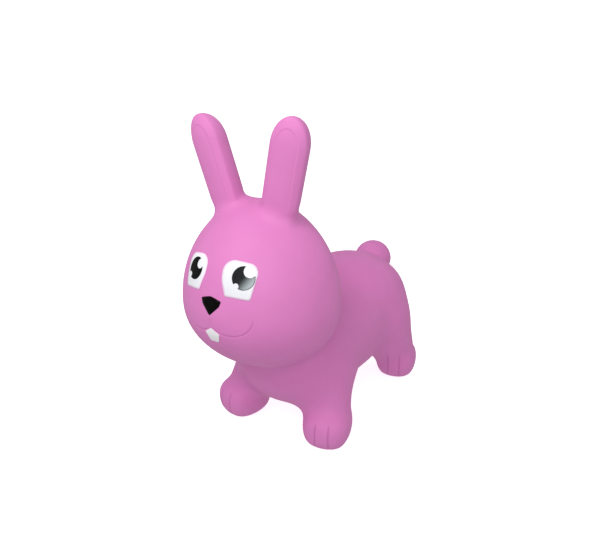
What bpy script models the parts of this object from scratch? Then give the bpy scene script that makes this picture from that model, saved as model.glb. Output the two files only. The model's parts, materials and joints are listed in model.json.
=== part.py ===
"""Inflatable rabbit hopper: a one-piece moulded vinyl bladder, its belly valve plug and its sprayed face.

Metres, +Z up.  The rabbit faces -Y and its left side is +X.  The origin lies on the floor,
on the plane of symmetry, under the middle of the overall length.  Shapes are drawn in a
paw frame, whose Y = 0 is the line through the front paws, and the root empty carries them
to the origin.
"""

import math

import bmesh
import bpy
from mathutils import Matrix, Vector
from mathutils.bvhtree import BVHTree
from mathutils.geometry import interpolate_bezier

# Head: an egg with its own reach to the face, nape, crown and chin, tucked in at chin and crown
HEAD_WIDTH = 0.261
HEAD_FACE_DEPTH = 0.132
HEAD_NAPE_DEPTH = 0.0905
HEAD_CROWN_HEIGHT = 0.157
HEAD_CHIN_DEPTH = 0.117
HEAD_LIFT = 0.275
HEAD_OVERHANG = 0.0500
CHIN_TUCK = 0.023
CROWN_TUCK = 0.024

# Muzzle: a low swelling of the face above the smile
MUZZLE_WIDTH = 0.124
MUZZLE_PROUD = 0.0028
MUZZLE_DEPTH = 0.081
MUZZLE_RAISE = 0.008
MUZZLE_TOP = 0.034
MUZZLE_BOTTOM = 0.031

# Ears, held as handles
EAR_LENGTH = 0.1448
EAR_WIDTH = 0.0566
EAR_FRONT_DEPTH = 0.018
EAR_BACK_DEPTH = 0.026
EAR_SQUARENESS = 2.5
EAR_SPACING = 0.090
EAR_SPREAD = math.radians(15.0)
EAR_LEAN = math.radians(5.4)
EAR_TURN = math.radians(9.0)
EAR_TIP_STRETCH = 1.45
EAR_SETFORWARD = 0.0242
EAR_SINK = 0.0175
EAR_EMBED = 0.020

# Trunk: breast, barrel and rump run into each other
BREAST_WIDTH = 0.214
BREAST_TOP = 0.234
BREAST_CLEARANCE = 0.045
BREAST_SETBACK = 0.055
BREAST_FRONT = 0.121
BREAST_BACK = 0.149
BREAST_SQUARENESS = 2.3
BARREL_WIDTH = 0.222
BARREL_TOP = 0.230
BELLY_CLEARANCE = 0.061
BARREL_LENGTH = 0.278
BARREL_SQUARENESS = 2.7
RUMP_WIDTH = 0.242
RUMP_TOP = 0.267
RUMP_CLEARANCE = 0.062
RUMP_SETFORWARD = 0.037
RUMP_FRONT = 0.119
RUMP_BACK = 0.105
RUMP_SQUARENESS = 2.1

# Tail ball
TAIL_DIAMETER = 0.0826
TAIL_REACH = 0.103
TAIL_HEIGHT = 0.227

# Legs and paws
WHEELBASE = 0.294
FRONT_TRACK = 0.183
REAR_TRACK = 0.194
FRONT_HIP_INSET = 0.035
FRONT_HIP_SETBACK = 0.051
FRONT_HIP_HEIGHT = 0.130
FRONT_HIP_DIAMETER = 0.120
FRONT_KNEE_INSET = 0.016
FRONT_KNEE_SETBACK = 0.017
FRONT_KNEE_DIAMETER = 0.098
REAR_HIP_INSET = 0.031
REAR_HIP_SETFORWARD = 0.035
REAR_HIP_HEIGHT = 0.140
REAR_HIP_DIAMETER = 0.138
REAR_KNEE_INSET = 0.012
REAR_KNEE_SETFORWARD = 0.013
REAR_KNEE_DIAMETER = 0.102
KNEE_HEIGHT = 0.075
ANKLE_DIAMETER = 0.087
PAW_WIDTH = 0.085
PAW_LENGTH = 0.095
PAW_HEIGHT = 0.074
PAW_WAIST = 0.039
PAW_SQUARENESS = 2.7
PAW_SPLAY = math.radians(15.0)
SOLE_TRIM = 0.003

# Moulded relief: ear panels, the smile, the line under the nose and the toes
PANEL_RIM = 0.010
PANEL_DEPTH = 0.0010
PANEL_FOOT = 0.034
PANEL_CORNER = 0.004
CREASE_DIAMETER = 0.006
CREASE_DEPTH = 0.0011
CREASE_STEPS = 8
CREASE_SIDES = 8
LIP_TOP = 0.0120
LIP_BOTTOM = -0.0045
TOE_PITCH = 0.0235
TOE_FALL = math.radians(30.0)
TOE_RISE = math.radians(20.0)

# Skin
WALL = 0.0022
BLEND_STRENGTH = 0.5
BLEND_PASSES = 40
JOIN_PASSES = 8
FORM_VOXEL = 0.006
SKIN_FACES = 4100

# Valve
VALVE_SETBACK = 0.180
VALVE_BORE = 0.011
COLLAR_DIAMETER = 0.030
COLLAR_DEPTH = 0.012
LAND_PROUD = 0.0010
PLUG_FLANGE_DIAMETER = 0.022
PLUG_FLANGE = 0.0026
PLUG_STEM_DIAMETER = 0.0080
PLUG_STEM = 0.024
PLUG_RIBS = 3
PLUG_RIB = 0.0030
PLUG_TIP_DIAMETER = 0.0050
PLUG_GRIP_DIAMETER = 0.012
PLUG_GRIP_DEPTH = 0.0012
PLUG_GAP = 0.0003

# Sprayed face
PAINT_GAP = 0.0003
PAINT_FILM = 0.0005
EYE_SPACING = 0.081
EYE_RAISE = 0.066
IRIS_DIAMETER = 0.0334
IRIS_OUTSET = 0.0030
IRIS_RAISE = 0.0026
IRIS_GAZE = 0.0024
GLINT_DIAMETER = 0.018
GLINT_SHIFT = 0.0085
GLINT_RAISE = 0.0112
SPARK_DIAMETER = 0.0088
SPARK_SHIFT = 0.0098
SPARK_DROP = 0.0138
NOSE_RAISE = 0.0295
NOSE_WIDTH = 0.0404
NOSE_TOP = 0.0098
NOSE_SHOULDER = 0.0050
NOSE_DROP = 0.019
NOSE_PROUD = 0.0035
NOSE_RIM_DROP = 0.0003
NOSE_CORNER = 0.003
NOSE_BROW = 0.020
TOOTH_DROP = 0.0203
TOOTH_WIDTH = 0.029
TOOTH_TIP_WIDTH = 0.017
TOOTH_PEAK = 0.0120
TOOTH_SHOULDER = 0.0030
TOOTH_LENGTH = 0.0120
TOOTH_CORNER = 0.0015

# Left half of the smile as four curve handles: outwards and upwards of the head's centre
SMILE = ((0.004, -0.009), (0.020, -0.026), (0.066, -0.018), (0.063, 0.0135))

# Eye white corners for the left eye: outwards, upwards and corner radius
EYE_CORNERS = (
    (0.0285, 0.0240, 0.012),
    (-0.0250, 0.0298, 0.018),
    (-0.0275, 0.0000, 0.030),
    (-0.0212, -0.0245, 0.003),
    (0.0166, -0.0283, 0.004),
)

# Colour as linear RGB, and roughness
VINYL_PINK = ((0.69, 0.21, 0.51), 0.55)
PAINT_WHITE = ((0.85, 0.85, 0.86), 0.45)
PAINT_BLACK = ((0.012, 0.012, 0.013), 0.30)
PLUG_WHITE = ((0.80, 0.80, 0.78), 0.40)

OUTLINE_STEP = 0.0035
NOSE_RINGS = 5
MASK_REACH = 0.08
MASK_DEPTH = 0.02
ROUND_SIDES = 40
EAR_STEPS = 28
EGG_SIDES = 48
EGG_RINGS = 28
SHARP_ANGLE = math.radians(40.0)


def clear_scene():
    """Remove every object that the file holds."""
    for old in list(bpy.data.objects):
        bpy.data.objects.remove(old)


def root_shift():
    """Y that carries the paw frame to the middle of the overall length."""
    front = HEAD_OVERHANG + HEAD_FACE_DEPTH + MUZZLE_PROUD + NOSE_PROUD
    rear = WHEELBASE - RUMP_SETFORWARD + TAIL_REACH + TAIL_DIAMETER / 2
    return (front - rear) / 2


def add_object(name, mesh, parent, finish=None):
    """Link a mesh under the root; with no finish it is a hidden cutter."""
    obj = bpy.data.objects.new(name, mesh)
    bpy.context.scene.collection.objects.link(obj)
    obj.parent = parent
    if finish is None:
        obj.hide_render = True
        obj.display_type = "WIRE"
        return obj
    colour, roughness = finish
    material = bpy.data.materials.new(name)
    material.use_nodes = True
    shader = material.node_tree.nodes["Principled BSDF"]
    shader.inputs["Base Color"].default_value = (*colour, 1.0)
    shader.inputs["Roughness"].default_value = roughness
    shader.inputs["Metallic"].default_value = 0.0
    mesh.materials.append(material)
    mesh.shade_smooth()
    mesh.set_sharp_from_angle(angle=SHARP_ANGLE)
    return obj


def mesh_from(bm, name):
    """Turn a bmesh into mesh data and free it."""
    mesh = bpy.data.meshes.new(name)
    bm.to_mesh(mesh)
    bm.free()
    return mesh


def egg(centre, width, front, back, up, down, squareness=2.0, turn=0.0):
    """Closed egg with its own reach each way; squareness above 2 fills its corners."""
    bm = bmesh.new()
    bmesh.ops.create_uvsphere(bm, u_segments=EGG_SIDES, v_segments=EGG_RINGS, radius=1.0)
    for vert in bm.verts:
        norm = sum(abs(part) ** squareness for part in vert.co) ** (1.0 / squareness)
        x, y, z = vert.co / norm
        vert.co = (x * width / 2, y * (front if y < 0 else back), z * (up if z > 0 else down))
    bmesh.ops.rotate(bm, verts=bm.verts, matrix=Matrix.Rotation(turn, 3, "Z"))
    bmesh.ops.translate(bm, verts=bm.verts, vec=centre)
    return bm


def ball(centre, diameter):
    """Closed sphere."""
    radius = diameter / 2
    return egg(centre, diameter, radius, radius, radius, radius)


def loft(loops):
    """Closed skin over loops of equal length, capped at both ends."""
    bm = bmesh.new()
    rings = [[bm.verts.new(point) for point in loop] for loop in loops]
    count = len(rings[0])
    for low, high in zip(rings, rings[1:]):
        for i in range(count):
            j = (i + 1) % count
            bm.faces.new((low[i], low[j], high[j], high[i]))
    bm.faces.new(rings[0])
    bm.faces.new(rings[-1])
    bmesh.ops.recalc_face_normals(bm, faces=bm.faces)
    return bm


def limb(points, diameters, sides=ROUND_SIDES):
    """Round limb through the points, tapering between the diameters."""
    loops = []
    for i, point in enumerate(points):
        axis = Vector(points[min(i + 1, len(points) - 1)]) - Vector(points[max(i - 1, 0)])
        turn = axis.to_track_quat("Z", "Y").to_matrix()
        ring = []
        for k in range(sides):
            angle = 2 * math.pi * k / sides
            offset = Vector((math.cos(angle), math.sin(angle), 0.0)) * diameters[i] / 2
            ring.append(Vector(point) + turn @ offset)
        loops.append(ring)
    return loft(loops)


def ear_place(side):
    """Frame of an ear: its foot sunk in the crown, leaning back and out and turned outwards."""
    foot = Vector(
        (
            side * EAR_SPACING / 2,
            -HEAD_OVERHANG - EAR_SETFORWARD,
            HEAD_LIFT + HEAD_CROWN_HEIGHT - EAR_SINK,
        )
    )
    return (
        Matrix.Translation(foot)
        @ Matrix.Rotation(side * EAR_SPREAD, 4, "Y")
        @ Matrix.Rotation(EAR_LEAN, 4, "X")
        @ Matrix.Rotation(side * EAR_TURN, 4, "Z")
    )


def ear(side):
    """Ear handle: squared oval sections with a long round tip, flatter in front."""
    height = EAR_EMBED + EAR_LENGTH
    tip = EAR_WIDTH / 2 * EAR_TIP_STRETCH
    place = ear_place(side)
    loops = []
    for i in range(EAR_STEPS):
        rise = height * math.sin(0.5 * math.pi * i / EAR_STEPS)
        over = max(0.0, rise - height + tip) / tip
        scale = math.sqrt(1.0 - over * over)
        loop = []
        for k in range(ROUND_SIDES):
            angle = 2 * math.pi * k / ROUND_SIDES
            across, deep = math.cos(angle), math.sin(angle)
            x = math.copysign(abs(across) ** (2 / EAR_SQUARENESS), across) * EAR_WIDTH / 2
            y = math.copysign(abs(deep) ** (2 / EAR_SQUARENESS), deep)
            y *= EAR_FRONT_DEPTH if deep < 0 else EAR_BACK_DEPTH
            loop.append(place @ Vector((x * scale, y * scale, rise - EAR_EMBED)))
        loops.append(loop)
    return loft(loops)


def trunk_form(centre_y, width, front, back, top, clearance, squareness):
    """Trunk egg between its clearance over the floor and its top."""
    half = (top - clearance) / 2
    return egg((0.0, centre_y, clearance + half), width, front, back, half, half, squareness)


def trunk_forms():
    """Breast, barrel and rump."""
    rump_y = WHEELBASE - RUMP_SETFORWARD
    barrel_y = (BREAST_SETBACK + rump_y) / 2
    half = BARREL_LENGTH / 2
    return [
        trunk_form(
            BREAST_SETBACK, BREAST_WIDTH, BREAST_FRONT, BREAST_BACK,
            BREAST_TOP, BREAST_CLEARANCE, BREAST_SQUARENESS,
        ),
        trunk_form(
            barrel_y, BARREL_WIDTH, half, half, BARREL_TOP, BELLY_CLEARANCE, BARREL_SQUARENESS
        ),
        trunk_form(
            rump_y, RUMP_WIDTH, RUMP_FRONT, RUMP_BACK, RUMP_TOP, RUMP_CLEARANCE, RUMP_SQUARENESS
        ),
    ]


def paw_places():
    """Front and rear paw centres on the rabbit's left side."""
    return (FRONT_TRACK / 2, 0.0), (REAR_TRACK / 2, WHEELBASE)


def leg_forms(side):
    """Hip balls and limbs of the front and rear leg on one side."""
    front, rear = paw_places()
    legs = (
        (
            front, FRONT_HIP_INSET, FRONT_HIP_SETBACK, FRONT_HIP_HEIGHT, FRONT_HIP_DIAMETER,
            FRONT_KNEE_INSET, FRONT_KNEE_SETBACK, FRONT_KNEE_DIAMETER,
        ),
        (
            rear, REAR_HIP_INSET, -REAR_HIP_SETFORWARD, REAR_HIP_HEIGHT, REAR_HIP_DIAMETER,
            REAR_KNEE_INSET, -REAR_KNEE_SETFORWARD, REAR_KNEE_DIAMETER,
        ),
    )
    forms = []
    for (x, y), hip_in, hip_back, hip_high, hip_size, knee_in, knee_back, knee_size in legs:
        hip = (side * (x - hip_in), y + hip_back, hip_high)
        knee = (side * (x - knee_in), y + knee_back, KNEE_HEIGHT)
        ankle = (side * x, y, PAW_WAIST)
        forms.append(ball(hip, hip_size))
        forms.append(limb((hip, knee, ankle), (hip_size, knee_size, ANKLE_DIAMETER)))
    return forms


def paw_forms(side):
    """Paws on one side, reaching under the floor by what the sole trim removes."""
    half = PAW_LENGTH / 2
    return [
        egg(
            (side * x, y, PAW_WAIST), PAW_WIDTH, half, half,
            PAW_HEIGHT - PAW_WAIST, PAW_WAIST + SOLE_TRIM, PAW_SQUARENESS, side * PAW_SPLAY,
        )
        for x, y in paw_places()
    ]


def tucked(head, centre):
    """Head egg with its chin tucked back and the back of its crown tucked forward."""
    for vert in head.verts:
        _, y, z = vert.co - centre
        if y < 0.0 and z < 0.0:
            vert.co.y -= CHIN_TUCK * (z / HEAD_CHIN_DEPTH) ** 2 * y / HEAD_FACE_DEPTH
        elif y > 0.0 and z > 0.0:
            vert.co.y -= CROWN_TUCK * (z / HEAD_CROWN_HEIGHT) ** 2 * y / HEAD_NAPE_DEPTH
    return head


def head_forms():
    """Head egg, muzzle and tail ball."""
    centre = Vector((0.0, -HEAD_OVERHANG, HEAD_LIFT))
    muzzle_y = HEAD_FACE_DEPTH + MUZZLE_PROUD - MUZZLE_DEPTH
    tail_y = WHEELBASE - RUMP_SETFORWARD + TAIL_REACH
    return [
        tucked(
            egg(
                centre, HEAD_WIDTH, HEAD_FACE_DEPTH, HEAD_NAPE_DEPTH,
                HEAD_CROWN_HEIGHT, HEAD_CHIN_DEPTH,
            ),
            centre,
        ),
        egg(
            centre + Vector((0.0, -muzzle_y, MUZZLE_RAISE)), MUZZLE_WIDTH,
            MUZZLE_DEPTH, MUZZLE_DEPTH, MUZZLE_TOP, MUZZLE_BOTTOM,
        ),
        ball((0.0, tail_y, TAIL_HEIGHT), TAIL_DIAMETER),
    ]


def evaluated_bmesh(obj):
    """Bmesh of an object with its modifiers applied."""
    bm = bmesh.new()
    bm.from_object(obj, bpy.context.evaluated_depsgraph_get())
    return bm


def joined(forms):
    """One bmesh of several, left unblended."""
    whole = bmesh.new()
    for form in forms:
        mesh = mesh_from(form, "form")
        whole.from_mesh(mesh)
        bpy.data.meshes.remove(mesh)
    return whole


def fuse(forms, passes, finish=False):
    """Blend overlapping closed forms into one skin; the finishing blend is mirrored and thinned."""
    blend = add_object("blend", mesh_from(joined(forms), "blend"), None)
    union = blend.modifiers.new("union", "REMESH")
    union.mode = "VOXEL"
    union.voxel_size = FORM_VOXEL
    relax = blend.modifiers.new("relax", "SMOOTH")
    relax.factor = BLEND_STRENGTH
    relax.iterations = passes
    if finish:
        mirror = blend.modifiers.new("mirror", "MIRROR")
        mirror.use_bisect_axis = (True, False, False)
        mirror.merge_threshold = 0.0001
        thin = blend.modifiers.new("thin", "DECIMATE")
        bpy.context.view_layer.update()
        thin.ratio = SKIN_FACES / triangle_count(blend)
    fused = evaluated_bmesh(blend)
    bpy.data.objects.remove(blend)
    return fused


def triangle_count(obj):
    """Triangles of an object as its modifiers leave it."""
    bm = evaluated_bmesh(obj)
    count = sum(len(face.verts) - 2 for face in bm.faces)
    bm.free()
    return count


def bladder_form():
    """Outer surface of the inflated bladder, paws reaching a little under the floor."""
    trunk = trunk_forms()
    extremities = head_forms()
    for side in (-1, 1):
        trunk += leg_forms(side)
        extremities += [ear(side)] + paw_forms(side)
    return fuse([fuse(trunk, BLEND_PASSES)] + extremities, JOIN_PASSES, finish=True)


def box_mesh(low, high, name):
    """Plain block between two corners."""
    bm = bmesh.new()
    bmesh.ops.create_cube(bm, size=1.0)
    middle = (Vector(low) + Vector(high)) / 2
    size = Vector(high) - Vector(low)
    bmesh.ops.scale(bm, vec=size, verts=bm.verts)
    bmesh.ops.translate(bm, vec=middle, verts=bm.verts)
    return mesh_from(bm, name)


def rod_mesh(start, end, diameter, name):
    """Plain round bar between two points."""
    return mesh_from(limb((start, end), (diameter, diameter)), name)


def cut(obj, tool, operation, solver="EXACT"):
    """Add a Boolean that joins or removes the tool."""
    boolean = obj.modifiers.new(tool.name, "BOOLEAN")
    boolean.operation = operation
    boolean.solver = solver
    boolean.object = tool


def belly_height(tree):
    """Lowest height of the belly over the floor under the valve's collar."""
    heights = []
    for k in range(ROUND_SIDES):
        angle = 2 * math.pi * k / ROUND_SIDES
        arm = Vector((math.cos(angle), math.sin(angle), 0.0)) * COLLAR_DIAMETER / 2
        start = Vector((0.0, VALVE_SETBACK, -MASK_REACH)) + arm
        heights.append(tree.ray_cast(start, Vector((0.0, 0.0, 1.0)))[0].z)
    return min(heights)


def crease_form(spots):
    """Round-bottomed line pressed into the skin along its spots, fading out at both ends."""
    rise = CREASE_DIAMETER / 2 - CREASE_DEPTH
    out = sum((normal for _, normal in spots), Vector()).normalized()
    points = []
    sizes = []
    for i, (spot, normal) in enumerate(spots):
        fade = math.sin(math.pi * (i + 0.5) / len(spots))
        points.append(spot + (out + normal).normalized() * rise)
        sizes.append(2 * (rise + CREASE_DEPTH * fade))
    return limb(points, sizes, CREASE_SIDES)


def face_spot(tree, x, raise_):
    """Place and outward normal of the face, seen from the front."""
    start = Vector((x, -HEAD_OVERHANG - HEAD_FACE_DEPTH - MASK_REACH, HEAD_LIFT + raise_))
    spot, out, _, _ = tree.ray_cast(start, Vector((0.0, 1.0, 0.0)))
    return spot, out


def smile_spots(tree, side):
    """Spots along one half of the smile."""
    handles = [Vector((side * x, raise_)) for x, raise_ in SMILE]
    knots = interpolate_bezier(*handles, CREASE_STEPS)
    return [face_spot(tree, knot.x, knot.y) for knot in knots]


def lip_spots(tree):
    """Spots down the line from the nose to the tooth."""
    drop = (LIP_TOP - LIP_BOTTOM) / (CREASE_STEPS - 1)
    return [face_spot(tree, 0.0, LIP_TOP - drop * i) for i in range(CREASE_STEPS)]


def toe_spots(tree, x, y, turn, offset):
    """Spots up one line between two toes, fanned about the paw's waist."""
    ahead = Matrix.Rotation(turn, 3, "Z") @ Vector((0.0, -1.0, 0.0))
    waist = Vector((x, y, PAW_WAIST)) + Vector((-ahead.y, ahead.x, 0.0)) * offset
    sweep = (TOE_FALL + TOE_RISE) / (CREASE_STEPS - 1)
    spots = []
    for i in range(CREASE_STEPS):
        pitch = sweep * i - TOE_FALL
        arm = ahead * math.cos(pitch) + Vector((0.0, 0.0, math.sin(pitch)))
        spot, out, _, _ = tree.ray_cast(waist + arm * PAW_LENGTH, -arm)
        spots.append((spot, out))
    return spots


def crease_mesh(tree):
    """Every pressed line in one cutter."""
    lines = [lip_spots(tree)]
    for side in (-1, 1):
        lines.append(smile_spots(tree, side))
        for x, y in paw_places():
            for offset in (-TOE_PITCH / 2, TOE_PITCH / 2):
                lines.append(toe_spots(tree, side * x, y, side * PAW_SPLAY, offset))
    return mesh_from(joined([crease_form(spots) for spots in lines]), "creases")


def panel_mesh():
    """Blocks over the fronts of both ears, inset from the ears' rims."""
    half = EAR_WIDTH / 2 - PANEL_RIM
    top = EAR_LENGTH - PANEL_RIM * EAR_TIP_STRETCH
    corners = (
        (half, PANEL_FOOT, PANEL_CORNER),
        (half, top, half - PANEL_CORNER),
        (-half, top, half - PANEL_CORNER),
        (-half, PANEL_FOOT, PANEL_CORNER),
    )
    outline = rounded_outline(corners)
    upright = Matrix.Rotation(math.pi / 2, 4, "X")
    blocks = [
        prism(ear_place(side) @ upright, outline, 0.0, EAR_FRONT_DEPTH + MASK_DEPTH)
        for side in (-1, 1)
    ]
    return mesh_from(joined(blocks), "panels")


def build_skin(outer, tree, belly, root):
    """Hollow bladder with flat soles, moulded relief and a bored valve collar in the belly."""
    skin = add_object("skin", outer, root, VINYL_PINK)
    reach = HEAD_WIDTH + WHEELBASE
    floor = box_mesh((-reach, -reach, -reach), (reach, reach, 0.0), "floor_cutter")
    cut(skin, add_object("floor_cutter", floor, root), "DIFFERENCE")
    cut(skin, add_object("creases", crease_mesh(tree), root), "DIFFERENCE", "MANIFOLD")
    panels = add_object("panels", panel_mesh(), root)
    cut(panels, raised_form("panel_floor", outer, -PANEL_DEPTH, root), "DIFFERENCE")
    cut(skin, panels, "DIFFERENCE", "MANIFOLD")
    wall = skin.modifiers.new("wall", "SOLIDIFY")
    wall.thickness = WALL
    wall.offset = -1.0
    land = Vector((0.0, VALVE_SETBACK, belly - LAND_PROUD))
    top = land + Vector((0.0, 0.0, LAND_PROUD + WALL + COLLAR_DEPTH))
    collar = rod_mesh(land, top, COLLAR_DIAMETER, "collar")
    cut(skin, add_object("collar", collar, root), "UNION")
    clear = Vector((0.0, 0.0, COLLAR_DEPTH))
    bore = rod_mesh(land - clear, top + clear, VALVE_BORE, "bore")
    cut(skin, add_object("bore", bore, root), "DIFFERENCE")


def plug_profile():
    """Half section of the plug as (radius, height over its seat), from the grip dimple to the tip."""
    rib = VALVE_BORE / 2 - PLUG_GAP
    stem = PLUG_STEM_DIAMETER / 2
    edge = PLUG_FLANGE / 4
    rim = PLUG_FLANGE_DIAMETER / 2
    dimple = PLUG_GRIP_DIAMETER / 2
    section = [
        (dimple - PLUG_GRIP_DEPTH, PLUG_GRIP_DEPTH - PLUG_FLANGE),
        (dimple, -PLUG_FLANGE),
        (rim - edge, -PLUG_FLANGE),
        (rim, edge - PLUG_FLANGE),
        (rim, -edge),
        (rim - edge, 0.0),
        (stem, 0.0),
    ]
    pitch = (WALL + LAND_PROUD + COLLAR_DEPTH) / (PLUG_RIBS + 1)
    for i in range(PLUG_RIBS):
        foot = pitch * (i + 1) - PLUG_RIB / 2
        section += [(stem, foot), (rib, foot + PLUG_RIB / 3), (stem, foot + PLUG_RIB)]
    return section + [(stem, PLUG_STEM - stem), (PLUG_TIP_DIAMETER / 2, PLUG_STEM)]


def build_plug(belly, root):
    """Ribbed stopper, turned about its pull axis, with its seat at its origin."""
    loops = []
    for radius, height in plug_profile():
        turn = [2 * math.pi * k / ROUND_SIDES for k in range(ROUND_SIDES)]
        loops.append([(radius * math.cos(a), radius * math.sin(a), height) for a in turn])
    plug = add_object("valve_plug", mesh_from(loft(loops), "valve_plug"), root, PLUG_WHITE)
    plug.location = (0.0, VALVE_SETBACK, belly - LAND_PROUD - PLUG_GAP)


def rounded_outline(corners):
    """Closed outline of (x, y, radius) corners, each turned into an arc."""
    outline = []
    count = len(corners)
    for i, (x, y, radius) in enumerate(corners):
        here = Vector((x, y))
        before = (Vector(corners[i - 1][:2]) - here).normalized()
        after = (Vector(corners[(i + 1) % count][:2]) - here).normalized()
        half = before.angle(after) / 2
        middle = here + (before + after).normalized() * radius / math.sin(half)
        start = here + before * radius / math.tan(half) - middle
        end = here + after * radius / math.tan(half) - middle
        sweep = math.atan2(start.cross(end), start.dot(end))
        steps = max(3, math.ceil(abs(sweep) * radius / OUTLINE_STEP))
        for k in range(steps + 1):
            arm = Matrix.Rotation(sweep * k / steps, 2) @ start
            outline.append(middle + arm)
    return outline


def disc_outline(diameter):
    """Closed circle."""
    steps = math.ceil(math.pi * diameter / OUTLINE_STEP)
    turn = [2 * math.pi * k / steps for k in range(steps)]
    return [Vector((math.cos(a), math.sin(a))) * diameter / 2 for a in turn]


def mask_frame(tree, x, raise_):
    """Axes of a spray mask laid on the face: right, up and out of the skin, at the mask's centre."""
    spot, out = face_spot(tree, x, raise_)
    if x == 0.0:
        out = Vector((0.0, out.y, out.z)).normalized()
    up = (Vector((0.0, 0.0, 1.0)) - out * out.z).normalized()
    right = up.cross(out)
    frame = Matrix((right, up, out)).transposed().to_4x4()
    return Matrix.Translation(spot) @ frame


def prism(frame, outline, low, high):
    """Block with an outline in a frame's plane, between two heights over it."""
    return loft(
        [[frame @ Vector((point.x, point.y, depth)) for point in outline] for depth in (low, high)]
    )


def raised_form(name, outer, lift, root):
    """Cutter in the shape of the skin's outside, raised by a lift."""
    cutter = add_object(name, outer.copy(), root)
    raised = cutter.modifiers.new("lift", "DISPLACE")
    raised.strength = lift
    raised.mid_level = 0.0
    return cutter


def paint_coat(name, outer, lift, root):
    """Cutter shell one film thick that lies over the whole skin at a lift."""
    coat = raised_form(name, outer, lift, root)
    layer = coat.modifiers.new("film", "SOLIDIFY")
    layer.thickness = PAINT_FILM
    layer.offset = 1.0
    return coat


def film(name, frame, outline, coat, root, finish):
    """Paint film: the part of a coat that shows through a mask outline."""
    block = prism(frame, outline, -MASK_DEPTH, MASK_DEPTH)
    patch = add_object(name, mesh_from(block, name), root, finish)
    cut(patch, coat, "INTERSECT")
    return patch


def build_eye(side_name, side, tree, coats, root):
    """White patch and iris of one eye; both irises have their glints on the same hand."""
    frame = mask_frame(tree, side * EYE_SPACING / 2, EYE_RAISE)
    outline = rounded_outline([(side * x, y, radius) for x, y, radius in EYE_CORNERS])
    film(f"eye_white_{side_name}", frame, outline, coats[0], root, PAINT_WHITE)
    centre = Vector((side * IRIS_OUTSET + IRIS_GAZE, IRIS_RAISE))
    disc = [centre + point for point in disc_outline(IRIS_DIAMETER)]
    iris = film(f"iris_{side_name}", frame, disc, coats[1], root, PAINT_BLACK)
    glints = (
        ("glint", GLINT_SHIFT, GLINT_RAISE, GLINT_DIAMETER),
        ("spark", -SPARK_SHIFT, -SPARK_DROP, SPARK_DIAMETER),
    )
    for name, shift, rise, diameter in glints:
        spot = centre + Vector((shift, rise))
        start = frame @ Vector((spot.x, spot.y, -2 * MASK_DEPTH))
        end = frame @ Vector((spot.x, spot.y, 2 * MASK_DEPTH))
        tool = rod_mesh(start, end, diameter, name)
        cut(iris, add_object(f"{name}_{side_name}", tool, root), "DIFFERENCE")


def build_nose(tree, outer, root):
    """Rounded triangular nose, domed from its rim and hollowed behind to sit on the muzzle."""
    corners = (
        (NOSE_WIDTH / 2, NOSE_SHOULDER, NOSE_CORNER),
        (0.0, NOSE_TOP, NOSE_BROW),
        (-NOSE_WIDTH / 2, NOSE_SHOULDER, NOSE_CORNER),
        (0.0, -NOSE_DROP, NOSE_CORNER),
    )
    outline = rounded_outline(corners)
    frame = mask_frame(tree, 0.0, NOSE_RAISE)
    sections = [(1.0, -MASK_DEPTH)]
    for ring in range(NOSE_RINGS):
        share = 1.0 - ring / NOSE_RINGS
        sections.append((share, NOSE_PROUD - (NOSE_PROUD + NOSE_RIM_DROP) * share**3))
    loops = [
        [frame @ Vector((point.x * share, point.y * share, rise)) for point in outline]
        for share, rise in sections
    ]
    nose = add_object("nose", mesh_from(loft(loops), "nose"), root, PAINT_BLACK)
    cut(nose, raised_form("muzzle_cutter", outer, PAINT_GAP, root), "DIFFERENCE")


def build_tooth(tree, coat, root):
    """Front tooth with a peaked top and a narrower cutting edge."""
    corners = (
        (TOOTH_WIDTH / 2, TOOTH_SHOULDER, TOOTH_CORNER),
        (0.0, TOOTH_PEAK, TOOTH_CORNER),
        (-TOOTH_WIDTH / 2, TOOTH_SHOULDER, TOOTH_CORNER),
        (-TOOTH_TIP_WIDTH / 2, -TOOTH_LENGTH, TOOTH_CORNER),
        (TOOTH_TIP_WIDTH / 2, -TOOTH_LENGTH, TOOTH_CORNER),
    )
    frame = mask_frame(tree, 0.0, -TOOTH_DROP)
    film("tooth", frame, rounded_outline(corners), coat, root, PAINT_WHITE)


def main():
    """Build the hopper."""
    clear_scene()
    root = bpy.data.objects.new("hopper", None)
    bpy.context.scene.collection.objects.link(root)
    root.location.y = root_shift()
    form = bladder_form()
    tree = BVHTree.FromBMesh(form)
    belly = belly_height(tree)
    outer = mesh_from(form, "bladder")
    lifts = (PAINT_GAP, 2 * PAINT_GAP + PAINT_FILM)
    coats = [paint_coat(f"coat_{i}", outer, lift, root) for i, lift in enumerate(lifts)]
    build_skin(outer, tree, belly, root)
    build_plug(belly, root)
    for side_name, side in (("left", 1), ("right", -1)):
        build_eye(side_name, side, tree, coats, root)
    build_nose(tree, outer, root)
    build_tooth(tree, coats[0], root)


if __name__ == "__main__":
    main()
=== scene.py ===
"""Looks of an inflatable rabbit hopper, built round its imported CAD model.

Metres, +Z up, in the CAD model's frame: the rabbit faces -Y and its left side is +X.
"""

import json
import logging
import math
from collections.abc import Callable, Iterator
from contextlib import contextmanager
from dataclasses import dataclass
from enum import Enum

import bmesh
import bpy
import numpy as np
from bpy.types import Material, Node, NodeSocket, NodeTree, Object
from mathutils import Matrix, Vector
from mathutils.bvhtree import BVHTree
from mathutils.geometry import interpolate_bezier
from mathutils.kdtree import KDTree

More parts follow.
